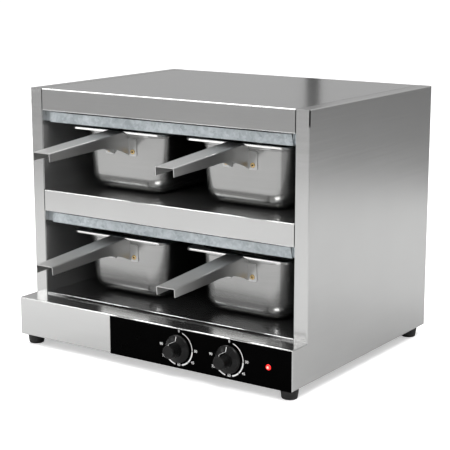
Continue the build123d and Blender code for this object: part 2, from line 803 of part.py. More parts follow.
# Pans with their folded handles and rivets
draft = math.radians(pan_draft)
slope = math.radians(handle_slope)
wall_gauge = pan_gauge * (math.cos(draft) + math.sin(draft))  # of the pans, square to the drafted wall
web_end = rim_y - handle_rim_gap
web_drop = (web_end - tip_y) * math.tan(slope)
for tier, floor_z in (("upper", upper_floor_z), ("lower", lower_floor_z)):
    for side, hand in sides:
        pan_x = side * pan_pitch / 2
        rim_z = floor_z + pan_slide_gap + pan_height
        outer_form = pan_form(pan_x, rim_z, 0)
        inner_form = pan_form(pan_x, rim_z, pan_gauge)
        # Plane of the pan's front wall, with its origin at the height of the rim
        wall_top_y = rim_y + rim_overhang - pan_step_height * math.tan(draft)
        wall_plane = Plane(
            origin=(pan_x, wall_top_y, rim_z),
            x_dir=(1, 0, 0),
            z_dir=(0, -math.cos(draft), -math.sin(draft)),
        )
        rivet_spots = [(-rivet_offset, -rivet_drop), (rivet_offset, -rivet_drop)]

        with BuildPart() as pan:
            add(outer_form)
            with BuildSketch(Plane.XY.offset(rim_z)):
                with Locations((pan_x, rim_y + pan_length / 2)):
                    RectangleRounded(pan_width, pan_length, rim_corner)
            extrude(amount=-rim_bead)
            fillet(pan.faces().sort_by(Axis.Z)[-1].edges(), rim_bead / 2 - sheet_gauge / 4)
            # Space under the flat of the rim, inside its rolled edge
            with BuildSketch(Plane.XY.offset(rim_z - pan_gauge)):
                with Locations((pan_x, rim_y + pan_length / 2)):
                    bead_x = pan_width - 2 * rim_bead
                    bead_y = pan_length - 2 * rim_bead
                    step_x = pan_width - 2 * (rim_overhang - pan_step)
                    step_y = pan_length - 2 * (rim_overhang - pan_step)
                    RectangleRounded(bead_x, bead_y, rim_corner - rim_bead)
                    RectangleRounded(step_x, step_y, pan_corner + pan_step, mode=Mode.SUBTRACT)
            extrude(amount=-rim_bead, mode=Mode.SUBTRACT)
            add(inner_form, mode=Mode.SUBTRACT)
            with BuildSketch(wall_plane):
                with Locations(*rivet_spots):
                    Circle(rivet_diameter / 2)
            extrude(amount=-2 * pan_gauge, mode=Mode.SUBTRACT)
        save(pan, f"pan_{tier}_{hand}")

        with BuildPart() as handle:
            web_plane = Plane(
                origin=(pan_x, tip_y, rim_z - web_drop),
                x_dir=(1, 0, 0),
                z_dir=(0, math.cos(slope), math.sin(slope)),
            )
            with BuildSketch(web_plane):
                add(
                    folded(
                        [
                            (-handle_width / 2, 2 * foot_drop),
                            (-handle_width / 2, 0),
                            (handle_width / 2, 0),
                            (handle_width / 2, 2 * foot_drop),
                        ],
                        side=Side.LEFT,
                        gauge=handle_gauge,
                        radius=handle_fold,
                    )
                )
            extrude(amount=(wall_top_y + foot_drop - tip_y) / math.cos(slope))
            # Side outline: straight lower edge, then an arch that runs down to the ears
            tip_bottom = rim_z - web_drop - handle_tip_height
            mid_y = front_y - handle_mid_reach
            mid_z = rim_z - (web_end - mid_y) * math.tan(slope) - handle_mid_height
            foot_y = wall_top_y + foot_drop * math.tan(draft)
            step_front = rim_y + rim_overhang - pan_step - handle_rim_gap
            notch_z = rim_z - rim_bead - handle_rim_gap
            under_step = rim_z - pan_step_height - handle_rim_gap
            chord_mid = ((mid_y + foot_y) / 2, (mid_z + rim_z - foot_drop) / 2)
            with BuildSketch(Plane.YZ.offset(pan_x)):
                with BuildLine():
                    Polyline(
                        (foot_y, rim_z - foot_drop),
                        (wall_top_y + (rim_z - under_step) * math.tan(draft), under_step),
                        (step_front, under_step),
                        (step_front, notch_z),
                        (web_end, notch_z),
                        (web_end, rim_z + handle_gauge),
                        (tip_y - handle_gauge, rim_z + handle_gauge),
                        (tip_y - handle_gauge, tip_bottom),
                        (tip_y, tip_bottom),
                        (mid_y, mid_z),
                    )
                    ThreePointArc(
                        (mid_y, mid_z),
                        (chord_mid[0], chord_mid[1] + handle_arch),
                        (foot_y, rim_z - foot_drop),
                    )
                make_face()
            extrude(amount=handle_width, both=True, mode=Mode.INTERSECT)
            with BuildSketch(wall_plane) as ears:
                for ear_side in (-1, 1):
                    ear_x = ear_side * (handle_width - handle_gauge) / 2
                    with Locations((ear_x, -ear_top_drop)):
                        Rectangle(
                            ear_width + handle_gauge / 2,
                            foot_drop - ear_top_drop,
                            align=(Align.MIN if ear_side > 0 else Align.MAX, Align.MAX),
                        )
                fillet(ears.vertices().group_by(Axis.X)[0], ear_corner)
                fillet(ears.vertices().group_by(Axis.X)[-1], ear_corner)
                with Locations(*rivet_spots):
                    Circle(rivet_diameter / 2, mode=Mode.SUBTRACT)
            extrude(amount=handle_gauge)
        save(handle, f"handle_{tier}_{hand}")

        with BuildPart() as rivets:
            with BuildSketch(wall_plane.offset(handle_gauge)):
                with Locations(*rivet_spots):
                    Circle(rivet_head / 2)
            extrude(amount=rivet_head_height)
            chamfer(rivets.faces().group_by(Axis.Y)[0].edges(), 0.6 * rivet_head_height)
            with BuildSketch(wall_plane.offset(handle_gauge)):
                with Locations(*rivet_spots):
                    Circle(rivet_diameter / 2)
            extrude(amount=-handle_gauge - wall_gauge)
            with BuildSketch(wall_plane.offset(-wall_gauge)):
                with Locations(*rivet_spots):
                    Circle(rivet_tail / 2)
            extrude(amount=-rivet_tail_height)
        save(rivets, f"rivets_{tier}_{hand}")
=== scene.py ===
import math
import bpy
from mathutils import Matrix, Vector


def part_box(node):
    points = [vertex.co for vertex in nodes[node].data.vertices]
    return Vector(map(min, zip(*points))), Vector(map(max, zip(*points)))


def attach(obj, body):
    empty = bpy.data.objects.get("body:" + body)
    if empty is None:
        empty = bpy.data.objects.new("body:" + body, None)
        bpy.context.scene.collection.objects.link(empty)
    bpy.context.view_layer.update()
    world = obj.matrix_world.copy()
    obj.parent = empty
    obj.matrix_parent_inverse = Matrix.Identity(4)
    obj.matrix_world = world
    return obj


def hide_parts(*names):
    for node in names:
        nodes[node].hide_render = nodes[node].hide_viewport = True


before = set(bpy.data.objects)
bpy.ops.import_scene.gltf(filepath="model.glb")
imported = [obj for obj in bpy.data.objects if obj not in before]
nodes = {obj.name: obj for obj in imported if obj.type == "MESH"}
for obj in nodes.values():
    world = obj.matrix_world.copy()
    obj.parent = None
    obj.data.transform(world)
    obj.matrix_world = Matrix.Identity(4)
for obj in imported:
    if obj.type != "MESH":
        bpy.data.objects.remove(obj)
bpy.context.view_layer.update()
mm = 0.001
tiny = 0.01 * mm  # closer than this counts as the same place

# two-tier heated holding bin: X to the right, Y to the back, Z up, metres


def deselectAll():
    if bpy.context.object and bpy.context.object.mode != "OBJECT":
        bpy.ops.object.mode_set(mode="OBJECT")
    bpy.ops.object.select_all(action="DESELECT")


def boxMiddle(node):
    low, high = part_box(node)
    return (low + high) / 2


# finishes: effects that several of them share are node groups


def newGroup(name, inputs, outputs):
    group = bpy.data.node_groups.new(name, "ShaderNodeTree")
    for label, kind, value in inputs:
        socket = group.interface.new_socket(label, in_out="INPUT", socket_type="NodeSocket" + kind)
        if value is not None:
            socket.default_value = value
    for label, kind in outputs:
        group.interface.new_socket(label, in_out="OUTPUT", socket_type="NodeSocket" + kind)
    return group, group.nodes.new("NodeGroupInput").outputs, group.nodes.new("NodeGroupOutput").inputs


def addNode(tree, kind, values=(), **settings):
    node = tree.nodes.new("ShaderNode" + kind)
    for key, value in settings.items():
        setattr(node, key, value)
    for key, value in dict(values).items():
        if isinstance(value, bpy.types.NodeSocket):
            tree.links.new(value, node.inputs[key])
        else:
            node.inputs[key].default_value = value
    return node


def mathNode(tree, operation, first, second=0.5, clamp=False):
    return addNode(tree, "Math", {0: first, 1: second}, operation=operation, use_clamp=clamp).outputs[0]


def mixColor(tree, factor, first, second, blend="MIX"):
    mix = addNode(tree, "Mix", data_type="RGBA", blend_type=blend)
    for socket, value in ((mix.inputs[0], factor), (mix.inputs[6], first), (mix.inputs[7], second)):
        if isinstance(value, bpy.types.NodeSocket):
            tree.links.new(value, socket)
        else:
            socket.default_value = value
    return mix.outputs[2]


def makeSheetGrain():
    # brushing of rolled sheet: fine lines that follow the sheet over its folds
    group, given, result = newGroup(
        "sheetGrain",
        [("Vector", "Vector", None), ("Normal", "Vector", None), ("Upright Lines", "Vector", (6, 6, 900)),
         ("Flat Lines", "Vector", (6, 900, 6)), ("Coarse Share", "Float", 0.35)],
        [("Grain", "Float"), ("Streak", "Float"), ("Cloud", "Float")],
    )
    split = addNode(group, "SeparateXYZ", {0: given["Normal"]})
    flatness = mathNode(group, "GREATER_THAN", mathNode(group, "ABSOLUTE", split.outputs[2]), 0.7)
    lines = addNode(group, "Mix", {0: flatness}, data_type="VECTOR")
    group.links.new(given["Upright Lines"], lines.inputs[4])
    group.links.new(given["Flat Lines"], lines.inputs[5])
    stretched = addNode(group, "VectorMath", {0: given["Vector"], 1: lines.outputs[1]}, operation="MULTIPLY")
    fine = addNode(group, "TexNoise", {"Vector": stretched.outputs[0], "Scale": 1.0, "Detail": 3.0})
    coarse = addNode(group, "TexNoise", {"Vector": stretched.outputs[0], "Scale": 0.16, "Detail": 2.0})
    cloud = addNode(group, "TexNoise", {"Vector": given["Vector"], "Scale": 14.0, "Detail": 3.0})
    both = addNode(group, "Mix", {0: given["Coarse Share"]}, data_type="FLOAT")
    group.links.new(fine.outputs[0], both.inputs[2])
    group.links.new(coarse.outputs[0], both.inputs[3])
    group.links.new(both.outputs[0], result["Grain"])
    group.links.new(coarse.outputs[0], result["Streak"])
    group.links.new(cloud.outputs[0], result["Cloud"])
    return group


def makeSpeckle():
    # fine pores and specks of moulded or coated surfaces
    group, given, result = newGroup(
        "speckle",
        [("Vector", "Vector", None), ("Size", "Float", 900.0), ("Amount", "Float", 0.5)],
        [("Specks", "Float"), ("Cloud", "Float")],
    )
    fine = addNode(group, "TexNoise", {"Vector": given["Vector"], "Scale": given["Size"], "Detail": 3.0})
    dots = addNode(group, "TexVoronoi", {"Vector": given["Vector"], "Scale": given["Size"]})
    mixed = addNode(group, "Mix", {0: given["Amount"]}, data_type="FLOAT")
    group.links.new(fine.outputs[0], mixed.inputs[2])
    group.links.new(dots.outputs[0], mixed.inputs[3])
    cloud = addNode(group, "TexNoise", {"Vector": given["Vector"], "Scale": 30.0, "Detail": 2.0})
    group.links.new(mixed.outputs[0], result["Specks"])
    group.links.new(cloud.outputs[0], result["Cloud"])
    return group


def makeGapShadow():
    # painted shade in the gap between two sheets: a slim box, mirrored to both hands of the cabinet
    group, given, result = newGroup(
        "gapShadow",
        [("Vector", "Vector", None), ("Middle", "Vector", (0, 0, 0)), ("Half Size", "Vector", (1, 1, 1))],
        [("Shade", "Float")],
    )
    split = addNode(group, "SeparateXYZ", {0: given["Vector"]})
    folded = addNode(group, "CombineXYZ", {0: mathNode(group, "ABSOLUTE", split.outputs[0]), 1: split.outputs[1],
                                           2: split.outputs[2]})
    away = addNode(group, "VectorMath", {0: folded.outputs[0], 1: given["Middle"]}, operation="SUBTRACT")
    share = addNode(group, "VectorMath", {0: away.outputs[0], 1: given["Half Size"]}, operation="DIVIDE")
    size = addNode(group, "VectorMath", {0: share.outputs[0]}, operation="ABSOLUTE")
    sides = addNode(group, "SeparateXYZ", {0: size.outputs[0]})
    most = mathNode(group, "MAXIMUM", sides.outputs[0], sides.outputs[1])
    most = mathNode(group, "MAXIMUM", most, sides.outputs[2])
    shade = addNode(group, "MapRange", {0: most, 1: 0.8, 2: 1.1, 3: 1.0, 4: 0.0})
    group.links.new(shade.outputs[0], result["Shade"])
    return group


sheetGrain = makeSheetGrain()
speckle = makeSpeckle()
gapShadow = makeGapShadow()


def newMaterial(name, constants):
    material = bpy.data.materials.new(name)
    material.use_nodes = True
    tree = material.node_tree
    shader = tree.nodes["Principled BSDF"]
    for key, value in constants.items():
        shader.inputs[key].default_value = value
    place = tree.nodes.new("ShaderNodeTexCoord")
    return material, tree, shader, place


def bumpFrom(tree, shader, height, strength, distance):
    bump = addNode(tree, "Bump", {"Height": height, "Strength": strength, "Distance": distance})
    tree.links.new(bump.outputs[0], shader.inputs["Normal"])


def rangeOf(tree, value, low, high, fromLow=0.3, fromHigh=0.7):
    return addNode(tree, "MapRange", {0: value, 1: fromLow, 2: fromHigh, 3: low, 4: high}).outputs[0]


# painted shade: near black painted into each gap between sheets, where shadow falls
gapShadeBlack = (0.012, 0.012, 0.012, 1)
gapShadeBoxes = {  # middle and half size of a slim box, in millimetres
    "slit": ((241.4, -119.6, 375.5), (1.0, 0.8, 11.5)),
    "fasciaEnd": ((220.6, -120.3, 370.5), (1.2, 1.6, 17.5)),
    "stripEnd": ((220.6, -120.3, 224.5), (1.1, 1.6, 22.5)),
    "floorFront": ((0, -119.7, 73.9), (222, 1.4, 1.5)),
    "upperChannel": ((0, -112.3, 352.6), (222, 1.2, 1.3)),
    "lowerChannel": ((0, -112.3, 200.5), (222, 1.2, 1.3)),
}


# paints the gap shade: the colour turns near black inside each listed box
def paintGapShades(tree, place, color, names):
    for name in names:
        middle, half = gapShadeBoxes[name]
        gap = addNode(tree, "Group", node_tree=gapShadow)
        tree.links.new(place.outputs["Object"], gap.inputs["Vector"])
        gap.inputs["Middle"].default_value = [side * mm for side in middle]
        gap.inputs["Half Size"].default_value = [side * mm for side in half]
        color = mixColor(tree, gap.outputs[0], color, gapShadeBlack)
    return color


def brushedSteel(name, look):
    # bare stainless sheet: colour, roughness and relief all follow the brushing; the colour also gets painted shade in
    # the gap boxes listed for it
    material, tree, shader, place = newMaterial(name, {"Metallic": look.get("metallic", 1.0)})
    grain = addNode(tree, "Group", node_tree=sheetGrain)
    tree.links.new(place.outputs["Object"], grain.inputs["Vector"])
    tree.links.new(place.outputs["Normal"], grain.inputs["Normal"])
    grain.inputs["Upright Lines"].default_value = look["upright"]
    grain.inputs["Flat Lines"].default_value = look["flat"]
    grain.inputs["Coarse Share"].default_value = look.get("coarse", 0.35)
    shade = rangeOf(tree, grain.outputs["Grain"], 0.0, 1.0)
    color = mixColor(tree, shade, look["dark"] + (1,), look["light"] + (1,))
    cloudy = rangeOf(tree, grain.outputs["Cloud"], 1.0 - look.get("cloud", 0.04), 1.0)
    color = mixColor(tree, 1.0, color, cloudy, "MULTIPLY")
    # painted shade: near black in each gap box listed for this sheet
    color = paintGapShades(tree, place, color, look.get("gapShades", ()))
    tree.links.new(color, shader.inputs["Base Color"])
    low, high = look["roughness"]
    tree.links.new(rangeOf(tree, grain.outputs["Grain"], low, high), shader.inputs["Roughness"])
    bumpFrom(tree, shader, grain.outputs["Grain"], look["relief"], 0.02 * mm)
    return material


def galvanisedSheet():
    # hot-dip zinc: bluish crystals with soft borders and a faint white bloom, and painted shadow lines on the channel
    # fronts
    look = {"crystals": 260.0, "patches": 91.0, "sway": 0.012, "dark": (0.34, 0.375, 0.395),
            "light": (0.5, 0.54, 0.56), "bloom": (0.62, 0.66, 0.68), "gapShades": ("upperChannel", "lowerChannel")}
    material, tree, shader, place = newMaterial("galvanisedSheet", {"Metallic": 0.82})
    bend = addNode(tree, "TexNoise", {"Vector": place.outputs["Object"], "Scale": 70.0, "Detail": 2.0})
    swayed = addNode(tree, "VectorMath", {0: bend.outputs[1], 1: (look["sway"],) * 3}, operation="MULTIPLY")
    moved = addNode(tree, "VectorMath", {0: place.outputs["Object"], 1: swayed.outputs[0]}, operation="ADD")
    crystal = addNode(tree, "TexVoronoi", {"Vector": moved.outputs[0], "Scale": look["crystals"]})
    patch = addNode(tree, "TexVoronoi", {"Vector": moved.outputs[0], "Scale": look["patches"]}, feature="SMOOTH_F1")
    patch.inputs["Smoothness"].default_value = 0.6
    tone = addNode(tree, "SeparateColor", {0: crystal.outputs["Color"]})
    wide = addNode(tree, "SeparateColor", {0: patch.outputs["Color"]})
    blended = mathNode(tree, "ADD", mathNode(tree, "MULTIPLY", tone.outputs[0], 0.55),
                       mathNode(tree, "MULTIPLY", wide.outputs[1], 0.45))
    color = mixColor(tree, rangeOf(tree, blended, 0.0, 1.0, 0.15, 0.85), look["dark"] + (1,), look["light"] + (1,))
    bloom = addNode(tree, "TexNoise", {"Vector": place.outputs["Object"], "Scale": 45.0, "Detail": 5.0})
    color = mixColor(tree, rangeOf(tree, bloom.outputs[0], 0.0, 0.6, 0.5, 0.75), color, look["bloom"] + (1,))
    # painted shadow: near-black lines on the channel fronts just under the sheet edges above them
    color = paintGapShades(tree, place, color, look["gapShades"])
    tree.links.new(color, shader.inputs["Base Color"])
    tree.links.new(rangeOf(tree, tone.outputs[1], 0.3, 0.52, 0.0, 1.0), shader.inputs["Roughness"])
    bumpFrom(tree, shader, tone.outputs[2], 0.12, 0.05 * mm)
    return material


def mouldedPlastic(name, look):
    # dark moulded parts: fine spark-eroded texture and a faint haze
    material, tree, shader, place = newMaterial(name, {"Specular IOR Level": look.get("specular", 0.5)})
    specks = addNode(tree, "Group", node_tree=speckle)
    tree.links.new(place.outputs["Object"], specks.inputs["Vector"])
    specks.inputs["Size"].default_value = look["size"]
    shade = rangeOf(tree, specks.outputs["Cloud"], 0.0, 1.0)
    color = mixColor(tree, shade, look["dark"] + (1,), look["light"] + (1,))
    tree.links.new(color, shader.inputs["Base Color"])
    low, high = look["roughness"]
    tree.links.new(rangeOf(tree, specks.outputs["Cloud"], low, high), shader.inputs["Roughness"])
    bumpFrom(tree, shader, specks.outputs["Specks"], look["relief"], 0.03 * mm)
    return material


def glowingLens():
    # red lens lit from behind, brightest at its middle
    look = {"core": (1.0, 0.5, 0.42), "rim": (0.72, 0.01, 0.008), "radius": 2.6 * mm, "strength": 1.7}
    constants = {"Roughness": 0.25, "Emission Strength": look["strength"]}
    material, tree, shader, place = newMaterial("glowingLens", constants)
    shift = addNode(tree, "Mapping", {"Vector": place.outputs["Object"]}, vector_type="POINT")
    shift.inputs["Location"].default_value = -boxMiddle("pilot_lamp_lens")
    away = addNode(tree, "VectorMath", {0: shift.outputs[0], 1: (1, 0, 1)}, operation="MULTIPLY")
    reach = addNode(tree, "VectorMath", {0: away.outputs[0]}, operation="LENGTH")
    ripple = addNode(tree, "TexNoise", {"Vector": place.outputs["Object"], "Scale": 500.0})
    share = rangeOf(tree, reach.outputs["Value"], 1.0, 0.0, 0.0, look["radius"])
    share = mathNode(tree, "MULTIPLY", share, rangeOf(tree, ripple.outputs[0], 0.7, 1.0), clamp=True)
    color = mixColor(tree, share, look["rim"] + (1,), look["core"] + (1,))
    tree.links.new(color, shader.inputs["Emission Color"])
    tree.links.new(color, shader.inputs["Base Color"])
    return material


def mineralWool():
    material, tree, shader, place = newMaterial("mineralWool", {"Roughness": 0.95})
    fibres = addNode(tree, "TexNoise", {"Vector": place.outputs["Object"], "Scale": 400.0, "Detail": 6.0})
    color = mixColor(tree, fibres.outputs[0], (0.34, 0.29, 0.2, 1), (0.62, 0.56, 0.44, 1))
    tree.links.new(color, shader.inputs["Base Color"])
    bumpFrom(tree, shader, fibres.outputs[0], 0.6, 0.5 * mm)
    return material


def brassFinish():
    material, tree, shader, place = newMaterial("brassFinish", {"Metallic": 1.0})
    cloud = addNode(tree, "TexNoise", {"Vector": place.outputs["Object"], "Scale": 900.0, "Detail": 3.0})
    color = mixColor(tree, cloud.outputs[0], (0.55, 0.36, 0.13, 1), (0.86, 0.66, 0.36, 1))
    tree.links.new(color, shader.inputs["Base Color"])
    tree.links.new(rangeOf(tree, cloud.outputs[0], 0.22, 0.4), shader.inputs["Roughness"])
    bumpFrom(tree, shader, cloud.outputs[0], 0.2, 0.02 * mm)
    return material


finishes = {
    # each finish's list of gap boxes names where it gets painted shade
    "side": brushedSteel("sideSteel", {
        "upright": (5, 5, 900), "flat": (900, 5, 5), "dark": (0.535, 0.535, 0.53), "light": (0.57, 0.57, 0.565),
        "roughness": (0.2, 0.25), "relief": 0.05, "coarse": 0.15, "cloud": 0.03, "gapShades": ("slit",)}),
    "case": brushedSteel("caseSteel", {
        "upright": (5, 5, 900), "flat": (5, 900, 5), "dark": (0.57, 0.57, 0.565), "light": (0.61, 0.61, 0.605),
        "roughness": (0.12, 0.16), "relief": 0.05, "coarse": 0.15, "cloud": 0.03, "metallic": 0.95,
        "gapShades": ("fasciaEnd",)}),
    # painted shade: the case steel a little darker, for the upper shelf and its front strip; its rougher finish is its
    # own
    "shelf": brushedSteel("shadedShelfSteel", {
        "upright": (5, 5, 900), "flat": (5, 900, 5), "dark": (0.53, 0.53, 0.525), "light": (0.57, 0.57, 0.565),
        "roughness": (0.18, 0.23), "relief": 0.05, "coarse": 0.15, "cloud": 0.03, "metallic": 0.95,
        "gapShades": ("stripEnd",)}),
    "inner": brushedSteel("innerSteel", {
        "upright": (4, 4, 300), "flat": (4, 300, 4), "dark": (0.58, 0.58, 0.58), "light": (0.62, 0.62, 0.62),
        "roughness": (0.1, 0.14), "relief": 0.02, "metallic": 0.86}),
    # painted shade: a darker copy of the inner walls' steel for the lower floor, which also gets a painted shade line
    # along its front lip
    "floor": brushedSteel("shadedFloorSteel", {
        "upright": (4, 4, 300), "flat": (4, 300, 4), "dark": (0.44, 0.44, 0.44), "light": (0.48, 0.48, 0.48),
        "roughness": (0.12, 0.16), "relief": 0.02, "metallic": 0.96, "gapShades": ("floorFront",)}),
    "pan": brushedSteel("panSteel", {
        "upright": (10, 10, 500), "flat": (10, 500, 10), "dark": (0.355, 0.355, 0.35), "light": (0.39, 0.39, 0.385),
        "roughness": (0.2, 0.24), "relief": 0.02, "coarse": 0.2, "cloud": 0.03}),
    "handle": brushedSteel("handleSteel", {
        "upright": (9, 9, 1300), "flat": (1300, 9, 9), "dark": (0.5, 0.5, 0.495), "light": (0.54, 0.54, 0.535),
        "roughness": (0.33, 0.38), "relief": 0.03, "coarse": 0.1, "cloud": 0.03}),
    "zinc": galvanisedSheet(),
    "brass": brassFinish(),
    "overlay": mouldedPlastic("glossBlack", {
        "size": 500.0, "dark": (0.0004, 0.0004, 0.0004), "light": (0.0008, 0.0008, 0.0008),
        "roughness": (0.08, 0.13), "relief": 0.02, "specular": 0.012}),
    "knob": mouldedPlastic("knobPlastic", {
        "size": 1500.0, "dark": (0.004, 0.004, 0.004), "light": (0.007, 0.007, 0.007),
        "roughness": (0.22, 0.3), "relief": 0.08, "specular": 0.22}),
    "plasticAndEyeShade": mouldedPlastic("darkPlasticAndEyeShade", {
        "size": 1100.0, "dark": (0.018, 0.018, 0.018), "light": (0.03, 0.03, 0.03),
        "roughness": (0.42, 0.55), "relief": 0.2}),
    "rubber": mouldedPlastic("footRubber", {
        "size": 1300.0, "dark": (0.01, 0.01, 0.01), "light": (0.022, 0.022, 0.021),
        "roughness": (0.6, 0.8), "relief": 0.35}),
    "paint": mouldedPlastic("whitePaint", {
        "size": 2500.0, "dark": (0.84, 0.84, 0.84), "light": (0.92, 0.92, 0.92),
        "roughness": (0.4, 0.5), "relief": 0.05}),
    "block": mouldedPlastic("blockPlastic", {
        "size": 900.0, "dark": (0.68, 0.66, 0.6), "light": (0.8, 0.78, 0.73),
        "roughness": (0.4, 0.5), "relief": 0.1}),
    "lens": glowingLens(),
    "wool": mineralWool(),
    "screw": brushedSteel("screwZinc", {
        "upright": (900, 900, 900), "flat": (900, 900, 900), "dark": (0.5, 0.5, 0.5), "light": (0.7, 0.7, 0.7),
        "roughness": (0.2, 0.32), "relief": 0.1}),
    "element": brushedSteel("elementSteel", {
        "upright": (300, 300, 300), "flat": (300, 300, 300), "dark": (0.1, 0.09, 0.08), "light": (0.3, 0.27, 0.24),
        "roughness": (0.35, 0.5), "relief": 0.1}),
}

finishOf = {
    "left_side_panel": "side", "right_side_panel": "side", "top_cover": "case", "back_panel": "case",
    "base_front_panel": "case", "upper_shelf": "shelf", "lower_shelf": "floor", "left_inner_wall": "inner",
    "right_inner_wall": "inner", "control_overlay": "overlay", "insulation_blanket": "wool",
    "upper_heating_element": "element", "lower_heating_element": "element", "bushing_nuts": "screw",
    "left_knob": "knob", "right_knob": "knob", "left_shaft": "screw", "right_shaft": "screw",
    "left_thermostat": "plasticAndEyeShade", "right_thermostat": "plasticAndEyeShade", "pilot_lamp_lens": "lens",
    "pilot_lamp_body": "plasticAndEyeShade", "terminal_block": "block", "cable_gland": "plasticAndEyeShade", "gland_nut": "plasticAndEyeShade",
    "foot_screws": "screw", "back_panel_screws": "screw",
}
finishByWord = (("foot_", "rubber"), ("pan_", "pan"), ("handle_", "handle"), ("rivets_", "brass"))


def dressNodes():
    for name, node in nodes.items():
        finish = finishOf.get(name)
        for word, choice in finishByWord:
            if finish is None and name.startswith(word):
                finish = choice
        for slot in node.material_slots:
            slot.material = finishes[finish or "zinc"]
    print("dressed", len(nodes), "nodes")


dressNodes()

# pieces made by hand over the frame


def startEdit(kind):
    bpy.ops.object.mode_set(mode="EDIT")
    bpy.ops.mesh.select_mode(type=kind)


def selectFaces(test):
    # leaves the piece in edit mode with the faces that pass the test selected
    bpy.ops.object.mode_set(mode="OBJECT")
    mesh = bpy.context.object.data
    place = bpy.context.object.matrix_world
    for part in (mesh.vertices, mesh.edges):
        part.foreach_set("select", [False] * len(part))
    for face in mesh.polygons:
        face.select = bool(test(place @ face.center, face.normal))
    startEdit("FACE")


def selectEdges(test):
    bpy.ops.object.mode_set(mode="OBJECT")
    mesh = bpy.context.object.data
    place = bpy.context.object.matrix_world
    for part in (mesh.vertices, mesh.polygons):
        part.foreach_set("select", [False] * len(part))
    for edge in mesh.edges:
        ends = [place @ mesh.vertices[index].co for index in edge.vertices]
        edge.select = bool(test(ends[0], ends[1]))
    startEdit("EDGE")


def growRing(shift, scale, centre):
    # one more ring: the open loop or face is drawn out and resized about the centre
    bpy.ops.mesh.extrude_region_move(TRANSFORM_OT_translate={"value": shift})
    middle = Vector(centre) + Vector(shift)
    bpy.ops.transform.resize(value=scale, center_override=tuple(middle))
    return middle


wayOut = {"front": ((0, -1, 0), math.pi / 2), "back": ((0, 1, 0), -math.pi / 2), "down": ((0, 0, -1), math.pi)}


def turnedForm(centre, profile, vertices, way):
    # a form as from a lathe: profile holds (radius, distance along the axis) pairs in millimetres
    deselectAll()
    axis, turn = Vector(wayOut[way][0]), wayOut[way][1]
    radius, reach = profile[0]
    middle = Vector(centre) + axis * reach * mm
    bpy.ops.mesh.primitive_circle_add(vertices=vertices, radius=radius * mm, fill_type="NGON", location=middle,
                                      rotation=(turn, 0, 0))
    startEdit("FACE")
    bpy.ops.mesh.select_all(action="SELECT")
    for nextRadius, nextReach in profile[1:]:
        step = nextRadius / radius
        middle = growRing(axis * (nextReach - reach) * mm, (step, step, step), middle)
        radius, reach = nextRadius, nextReach
    bpy.ops.mesh.select_all(action="SELECT")
    bpy.ops.mesh.normals_make_consistent(inside=False)
    return bpy.context.object


def useModifier(piece, kind, **settings):
    modifier = piece.modifiers.new(kind.lower(), kind)
    for key, value in settings.items():
        setattr(modifier, key, value)
    bpy.ops.object.mode_set(mode="OBJECT")
    bpy.context.view_layer.objects.active = piece
    bpy.ops.object.modifier_apply(modifier=modifier.name)


def settle(piece, name, finish, smooth=35):
    # place, turn and size go into the mesh, then the piece gets its name and finish
    if bpy.context.object.mode != "OBJECT":
        bpy.ops.object.mode_set(mode="OBJECT")
    deselectAll()
    piece.select_set(True)
    bpy.context.view_layer.objects.active = piece
    bpy.ops.object.transform_apply(location=True, rotation=True, scale=True)
    bpy.ops.object.shade_smooth_by_angle(angle=math.radians(smooth))
    piece.name = name
    piece.data.name = name
    piece.data.materials.clear()
    piece.data.materials.append(finishes[finish])
    return piece


def copyOf(piece, name, shift):
    copy = piece.copy()
    copy.data = piece.data.copy()
    copy.name = name
    copy.data.name = name
    bpy.context.scene.collection.objects.link(copy)
    copy.data.transform(Matrix.Translation(shift))
    return copy


def joinPieces(pieces, name):
    deselectAll()
    for piece in pieces:
        piece.select_set(True)
    bpy.context.view_layer.objects.active = pieces[0]
    bpy.ops.object.join()
    pieces[0].name = name
    pieces[0].data.name = name
    return pieces[0]


# food pans: drawn shell, stacking step, flat rim with its edge turned down

panLook = {
    "rim": (176.0, 325.0), "rimCorner": 13.0, "overhang": 12.5, "height": 95.0, "sheet": 0.8, "lip": 3.2,
    "lipLean": 0.45, "step": 1.6, "stepHeight": 9.0, "corner": 32.0, "bottomRadius": 26.0, "draft": 3.0,
    "rimMargin": 0.02, "edgeRound": 0.5, "cornerCuts": 12, "bottomCuts": 10,
}


def roundedSheet(centre, width, length, corner):
    deselectAll()
    bpy.ops.mesh.primitive_plane_add(size=1.0, location=centre)
    startEdit("VERT")
    bpy.ops.mesh.select_all(action="SELECT")
    bpy.ops.transform.resize(value=(width, length, 1.0), center_override=tuple(centre))
    bpy.ops.mesh.bevel(offset=corner, segments=panLook["cornerCuts"], affect="VERTICES", clamp_overlap=False)
    bpy.ops.mesh.select_mode(type="FACE")
    bpy.ops.mesh.select_all(action="SELECT")
    return bpy.context.object


def drawPanWalls(stepTop, width, length):
    # the inside of the pan: walls with draft, then the round bottom edge
    look, sheet = panLook, panLook["sheet"]
    shell = roundedSheet(stepTop, width, length, (look["corner"] - sheet) * mm)
    depth = (look["height"] - look["stepHeight"]) * mm
    pull = 2 * depth * math.tan(math.radians(look["draft"]))
    growRing((0, 0, -depth), (1 - pull / width, 1 - pull / length, 1), stepTop)
    bottomZ = stepTop.z - depth
    selectEdges(lambda a, b: abs(a.z - bottomZ) < tiny and abs(b.z - bottomZ) < tiny)
    bpy.ops.mesh.bevel(offset=(look["bottomRadius"] - sheet) * mm, offset_type="OFFSET", segments=look["bottomCuts"],
                       profile=0.5, clamp_overlap=False)
    bpy.ops.mesh.select_all(action="SELECT")
    bpy.ops.mesh.remove_doubles(threshold=2 * tiny)
    return shell


